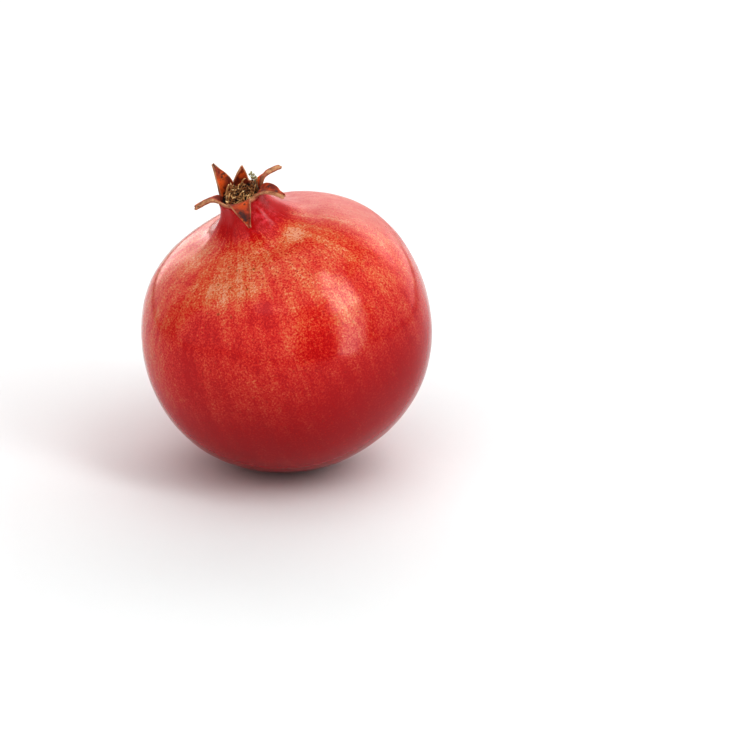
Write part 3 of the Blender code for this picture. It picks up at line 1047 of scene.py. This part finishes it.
# %% The dry finishes
# A ground colour, its darker patches, its paler grain, and the size of that grain in millimetres
DRY_FINISHES = {
    # The heap's core is near-black: painted shade in the gaps between the stamens
    "heap_core_painted_shade": ((40, 22, 14), (24, 13, 9), (70, 42, 26), 0.5),
    "matted": ((226, 184, 132), (172, 118, 74), (244, 222, 182), 1.2),
    "upright": ((206, 198, 166), (178, 166, 132), (228, 222, 196), 0.6),
    "pale": ((236, 208, 160), (198, 154, 104), (248, 234, 200), 0.5),
    "dark": ((104, 62, 38), (60, 38, 26), (164, 114, 70), 0.5),
    "green": ((190, 184, 146), (140, 132, 100), (222, 216, 182), 0.4),
    "stem_end": ((112, 82, 58), (74, 52, 38), (158, 126, 92), 0.6),
}


def make_dry_finish(name):
    """A material of the table above, by its name."""
    made, tree, shader = start_material(name)
    ground, deep, pale, grain_size = DRY_FINISHES[name]
    place = wire(tree, "ShaderNodeTexCoord", {}, out=3)
    broad = cloud(tree, place, 3 * grain_size * MM)
    close = cloud(tree, place, grain_size * MM, 3.0, 0.7)
    color = layer(tree, stretch(tree, broad, 0.4, 0.6), paint(*ground), paint(*deep))
    color = layer(tree, stretch(tree, close, 0.55, 0.72), color, paint(*pale))
    rough = stretch(tree, close, 0.3, 0.7, 0.6, 0.85)
    dress(tree, shader, color, rough, close, strength=0.4, depth=0.05 * MM)
    return made


for bm, name, finish in (
    # The near-black core is painted shade under the stamens
    (heap, "stamen_heap_painted_shade", "heap_core_painted_shade"),
    (matted_rods, "matted_filaments", "matted"),
    (upright_rods, "upright_filaments", "upright"),
    (pale_beans, "pale_anthers", "pale"),
    (dark_beans, "dark_anthers", "dark"),
    (green_beans, "green_anthers", "green"),
):
    bmesh.ops.transform(bm, matrix=neck_place, verts=bm.verts)
    piece_from(bm, name, "stamens", [make_dry_finish(finish)], crease=80)

# %% [markdown]
# ## The stem end
# Underneath, where nobody looks, the fruit was cut from its twig, and a short woody stub is left in
# the dimple. It is turned from an outline with a softened edge, and noise that hardly changes along
# the stub gives its bark shallow ridges. One dry brown is enough for bark and cut face.

# %% The stub
STUB_RADIUS = 3.0 * MM
STUB_LENGTH = 2.0 * MM
STUB_INSET = 0.3 * MM
STUB_RIDGES = 0.7 * MM
STUB_RIDGE_DEPTH = 0.05
STUB_TOP = -BASE_DEPTH + DIMPLE_DEPTH * math.exp(-((STUB_RADIUS / DIMPLE_RADIUS) ** 2)) - STUB_INSET
# The cut face and its edge, as shares of the radius and heights in millimetres
STUB_CUT = ((0, 0.15), (0.3, 0.1), (0.72, 0), (0.84, 0.12), (0.9, 0.45))


def make_stub():
    bottom = STUB_TOP - STUB_LENGTH
    profile = [(STUB_RADIUS * share, bottom + rise * MM) for share, rise in STUB_CUT]
    profile.append((STUB_RADIUS * 0.9, STUB_TOP - 0.8 * MM))
    profile += [(STUB_RADIUS * 0.97, STUB_TOP), (0, STUB_TOP)]
    bm = turned(profile, 72)
    for vert in bm.verts:
        if STUB_TOP - 0.1 * MM > vert.co.z > bottom:
            ridge = noise.noise(Vector((vert.co.x, vert.co.y, vert.co.z * 0.2)) / STUB_RIDGES)
            vert.co.xy *= 1 - STUB_RIDGE_DEPTH * (0.5 + 0.5 * ridge)
    bmesh.ops.transform(bm, matrix=fruit_place, verts=bm.verts)
    return bm


wood = make_dry_finish("stem_end")
piece_from(make_stub(), "stem_end", "stem_stub", [wood], crease=35)

# %% [markdown]
# ## The table
# A pale floor lights the fruit from below, as a white table does. It is a disc that ends in front of
# the standing lights, because the floor behind them would stay dark and show as a band.

# %% The floor
FLOOR_RADIUS = 1.0


def make_floor():
    bm = bmesh.new()
    bmesh.ops.create_circle(bm, cap_ends=True, segments=96, radius=FLOOR_RADIUS)
    finish, _, shader = start_material("pale_floor")
    shader.inputs["Base Color"].default_value = (0.82, 0.8, 0.8, 1)
    shader.inputs["Roughness"].default_value = 0.9
    object_from(bm, "floor", [finish])


make_floor()
print("floor radius:", FLOOR_RADIUS, "m")

# %% [markdown]
# ## The light
# Waxy skin mirrors its lights, so they are panels with the shapes that are wanted. A strip in three
# lengths at the right draws the long pale band on the shoulder, widest above and brightest in its
# middle. The panels behind wash the top and the rim, and the wide one in front keeps the shade soft.
# The panels at the right give a little less red, or the skin in them would glow.

# %% The panels of light
WHITE = (1.0, 1.0, 1.0)
COOL = (0.84, 1.0, 1.0)
# Azimuth from the front towards the right, spread, low edge and high edge, in degrees as seen from
# the fruit, then the distance in metres, the radiance and the colour
STANDING_PANELS = {
    "strip_top": (52, 22, 48, 70, 1.1, 5.0, COOL),
    "strip_middle": (52.5, 19, 28, 48, 1.1, 6.8, COOL),
    "strip_low": (52, 12, -2, 28, 1.1, 4.6, COOL),
    "right_window": (92, 50, -1, 50, 1.6, 0.85, COOL),
    "backdrop": (165, 96, 0, 42, 1.6, 1.4, WHITE),
    "back_window": (165, 80, 22, 53, 1.5, 1.2, WHITE),
    "left_window": (-138, 50, 0, 34, 1.6, 0.75, WHITE),
    "front_fill": (-40, 100, -1, 55, 1.6, 0.85, WHITE),
}


def lamp(name, place, facing, width, height, radiance, color):
    """A rectangle of light at a place, shining along the reverse of facing."""
    light = bpy.data.lights.new(name, "AREA")
    light.shape = "RECTANGLE"
    light.size = width
    light.size_y = height
    light.energy = radiance * math.pi * width * height
    light.color = color
    made = bpy.data.objects.new(name, light)
    made.location = place
    made.rotation_euler = facing.to_track_quat("Z", "Y").to_euler()
    made.visible_camera = False
    bpy.context.scene.collection.objects.link(made)


def standing_panel(name, azimuth, spread, low, high, distance_away, radiance, color):
    """An upright panel round the fruit."""
    turn = math.radians(azimuth)
    away = Vector((math.sin(turn), -math.cos(turn), 0))
    bottom = distance_away * math.tan(math.radians(low))
    top = distance_away * math.tan(math.radians(high))
    place = middle + away * distance_away + Vector((0, 0, (bottom + top) / 2))
    width = 2 * distance_away * math.tan(math.radians(spread) / 2)
    lamp(name, place, away, width, top - bottom, radiance, color)


for name, panel in STANDING_PANELS.items():
    standing_panel(name, *panel)
above = middle + Vector((0, -0.4, 1.3))
lamp("top_panel", above, Vector((0, -0.2, 1)), width=1.5, height=1.5, radiance=1.0, color=WHITE)
print("lights:", len(bpy.data.lights))

# %% The sky and the picture's tones
AMBIENT = 0.3
VIEW_GAMMA = 0.7
VIEW_EXPOSURE = 0.03

world = bpy.data.worlds.new("studio")
bpy.context.scene.world = world
world.use_nodes = True
sky_tree = world.node_tree
seen = wire(sky_tree, "ShaderNodeLightPath", {}, out=0)
strength = stretch(sky_tree, seen, 0.0, 1.0, AMBIENT, 1.0)
background = sky_tree.nodes["Background"]
background.inputs["Color"].default_value = (1, 1, 1, 1)
sky_tree.links.new(strength, background.inputs["Strength"])
view = bpy.context.scene.view_settings
view.view_transform = "Standard"
view.gamma = VIEW_GAMMA
view.exposure = VIEW_EXPOSURE
print("the sky gives", AMBIENT, "and looks white")

# %% [markdown]
# ## The camera
# The fruit is seen from 20 degrees above its middle through a long lens, and it sits left of the
# middle of the frame. Turning the camera a little off the fruit puts it there, which keeps the lens
# unshifted.

# %% The camera
IMAGE_SIZE = 750
FOCAL_PIXELS = 2299
CENTRE_PIXEL = (286.7, 329.3)
CAMERA_DISTANCE = 0.75
CAMERA_ELEVATION = math.radians(20)
SENSOR_MM = 36


def place_camera():
    camera = bpy.data.cameras.new("camera")
    camera.sensor_width = SENSOR_MM
    camera.lens = SENSOR_MM * FOCAL_PIXELS / IMAGE_SIZE
    made = bpy.data.objects.new("camera", camera)
    bpy.context.scene.collection.objects.link(made)
    back = Vector((0, -math.cos(CAMERA_ELEVATION), math.sin(CAMERA_ELEVATION)))
    aim = (-back).to_track_quat("-Z", "Y").to_matrix()
    yaw = math.atan2(IMAGE_SIZE / 2 - CENTRE_PIXEL[0], FOCAL_PIXELS)
    pitch = math.atan2(IMAGE_SIZE / 2 - CENTRE_PIXEL[1], FOCAL_PIXELS)
    turned_away = Matrix.Rotation(-yaw, 3, "Y") @ Matrix.Rotation(-pitch, 3, "X")
    made.matrix_world = Matrix.LocRotScale(middle + back * CAMERA_DISTANCE, aim @ turned_away, None)
    bpy.context.scene.camera = made
    print("lens:", round(camera.lens, 1), "mm")


place_camera()
